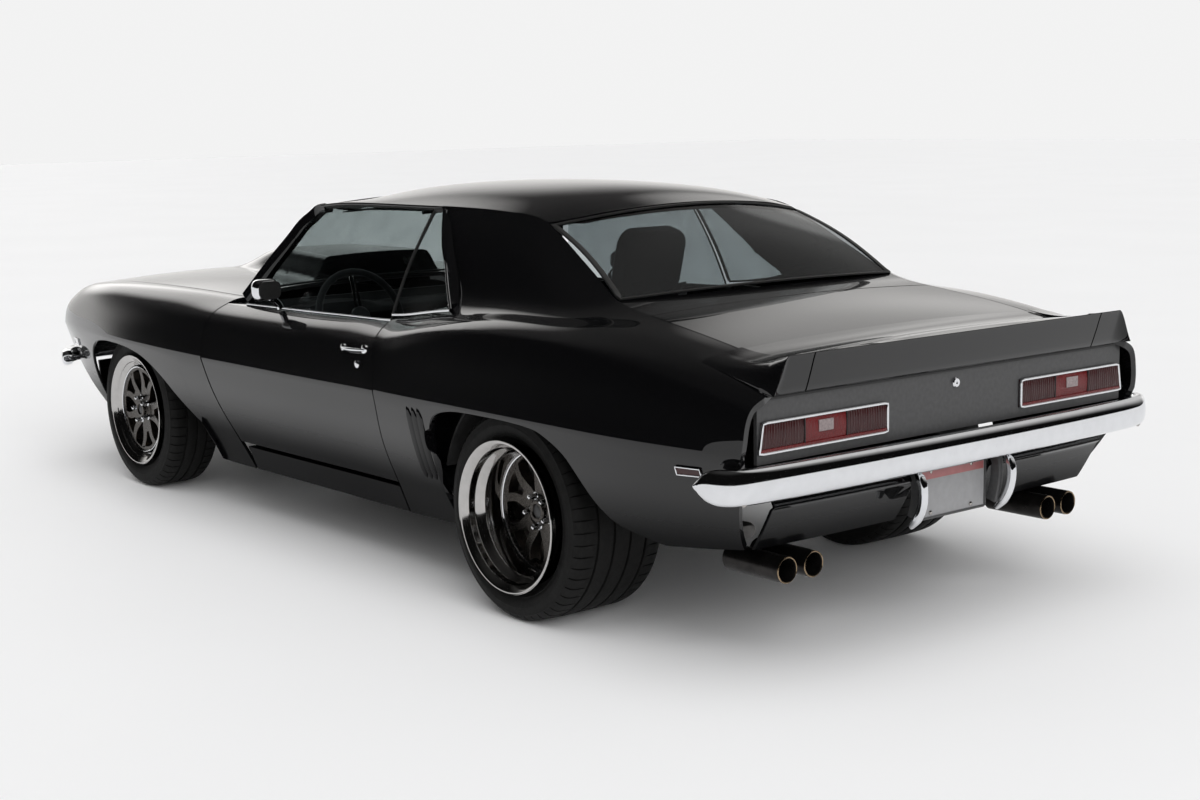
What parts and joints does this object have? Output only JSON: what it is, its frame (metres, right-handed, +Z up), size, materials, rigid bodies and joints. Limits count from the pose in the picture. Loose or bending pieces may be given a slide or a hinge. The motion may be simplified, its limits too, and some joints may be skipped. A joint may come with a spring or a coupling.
{
  "type": "muscle car",
  "caption": "Two-door fastback muscle car with opening doors, hood and trunk, steering front wheels and turning wheels.",
  "frame": {"origin": "on the ground under the middle of the car, bottom centre of its box", "axes": "+X forward along the car, +Y to its left, +Z up"},
  "size_m": [4.7236, 1.8802, 1.288],
  "materials": {
    "black_paint": "gloss",
    "satin_black": "satin",
    "chassis_black": "satin",
    "cast_metal": "matte",
    "chrome": "gloss",
    "alloy": "brushed",
    "rubber": "matte",
    "clear_glass": "gloss",
    "tinted_glass": "gloss",
    "red_lens": "gloss",
    "lamp_glass": "gloss",
    "seat_cloth": "matte",
    "trim_plastic": "matte",
    "plate_metal": "satin",
    "steel": "satin"
  },
  "bodies": {
    "body": {"floor_pan": "chassis_black", "front_frame": "chassis_black", "engine_block": "cast_metal", "cowl_and_firewall": "satin_black", "front_fenders": "black_paint", "nose_panel": "black_paint", "grille": "trim_plastic", "headlamps": "lamp_glass", "front_bumper": "chrome", "windshield": "clear_glass", "roof": "black_paint", "quarter_panels": "black_paint", "sail_panels": "black_paint", "quarter_glass": "clear_glass", "rear_glass": "tinted_glass", "deck_panel": "black_paint", "tail_panel": "satin_black", "taillights": "red_lens", "rear_bumper": "chrome", "rear_valance": "black_paint", "licence_plate": "plate_metal", "side_markers": "chrome", "exhaust": "steel", "exhaust_tips": "steel", "rear_axle": "chassis_black", "control_arms": "chassis_black", "dashboard": "trim_plastic", "front_seats": "seat_cloth", "rear_seat": "seat_cloth", "rocker_panels": "black_paint", "spoiler_ends": "black_paint"},
    "steering_wheel_body": {"steering_wheel": "trim_plastic"},
    "hood_body": {"hood": "black_paint"},
    "trunk_body": {"trunk_lid": "black_paint"},
    "door_left_body": {"door_left": "black_paint", "door_glass_left": "clear_glass"},
    "door_right_body": {"door_right": "black_paint", "door_glass_right": "clear_glass"},
    "knuckle_left_body": {"knuckle_left": "cast_metal"},
    "knuckle_right_body": {"knuckle_right": "cast_metal"},
    "wheel_fl_body": {"wheel_front_left": "alloy", "tyre_front_left": "rubber"},
    "wheel_fr_body": {"wheel_front_right": "alloy", "tyre_front_right": "rubber"},
    "wheel_rl_body": {"wheel_rear_left": "alloy", "tyre_rear_left": "rubber"},
    "wheel_rr_body": {"wheel_rear_right": "alloy", "tyre_rear_right": "rubber"}
  },
  "joints": [
    {"name": "steer_left", "type": "hinge", "parent": "body", "child": "knuckle_left_body", "pos_m": [1.43, 0.64, 0.326], "axis": [0, 0, 1], "range_deg": [-25, 25]},
    {"name": "steer_right", "type": "hinge", "parent": "body", "child": "knuckle_right_body", "pos_m": [1.43, -0.64, 0.326], "axis": [0, 0, 1], "range_deg": [-25, 25]},
    {"name": "steering_wheel_turn", "type": "hinge", "parent": "body", "child": "steering_wheel_body", "pos_m": [0.3, 0.38, 0.768], "axis": [-0.9397, 0, 0.342], "range_deg": [-350, 350]},
    {"name": "wheel_fl_spin", "type": "hinge", "parent": "knuckle_left_body", "child": "wheel_fl_body", "pos_m": [1.43, 0.685, 0.326], "axis": [0, 1, 0], "continuous": true},
    {"name": "wheel_fr_spin", "type": "hinge", "parent": "knuckle_right_body", "child": "wheel_fr_body", "pos_m": [1.43, -0.685, 0.326], "axis": [0, 1, 0], "continuous": true},
    {"name": "wheel_rl_spin", "type": "hinge", "parent": "body", "child": "wheel_rl_body", "pos_m": [-1.313, 0.712, 0.326], "axis": [0, 1, 0], "continuous": true},
    {"name": "wheel_rr_spin", "type": "hinge", "parent": "body", "child": "wheel_rr_body", "pos_m": [-1.313, -0.712, 0.326], "axis": [0, 1, 0], "continuous": true},
    {"name": "door_left_hinge", "type": "hinge", "parent": "body", "child": "door_left_body", "pos_m": [0.505, 0.893, 0.56], "axis": [0, 0, -1], "range_deg": [0, 65]},
    {"name": "door_right_hinge", "type": "hinge", "parent": "body", "child": "door_right_body", "pos_m": [0.505, -0.893, 0.56], "axis": [0, 0, 1], "range_deg": [0, 65]},
    {"name": "hood_hinge", "type": "hinge", "parent": "body", "child": "hood_body", "pos_m": [0.64, 0, 0.85], "axis": [0, -1, 0], "range_deg": [0, 50]},
    {"name": "trunk_hinge", "type": "hinge", "parent": "body", "child": "trunk_body", "pos_m": [-1.688, 0, 0.944], "axis": [0, 1, 0], "range_deg": [0, 60]}
  ],
  "couplings": [
    {"joint": "steer_right", "follows": "steer_left", "ratio": 1},
    {"joint": "steering_wheel_turn", "follows": "steer_left", "ratio": 13}
  ]
}
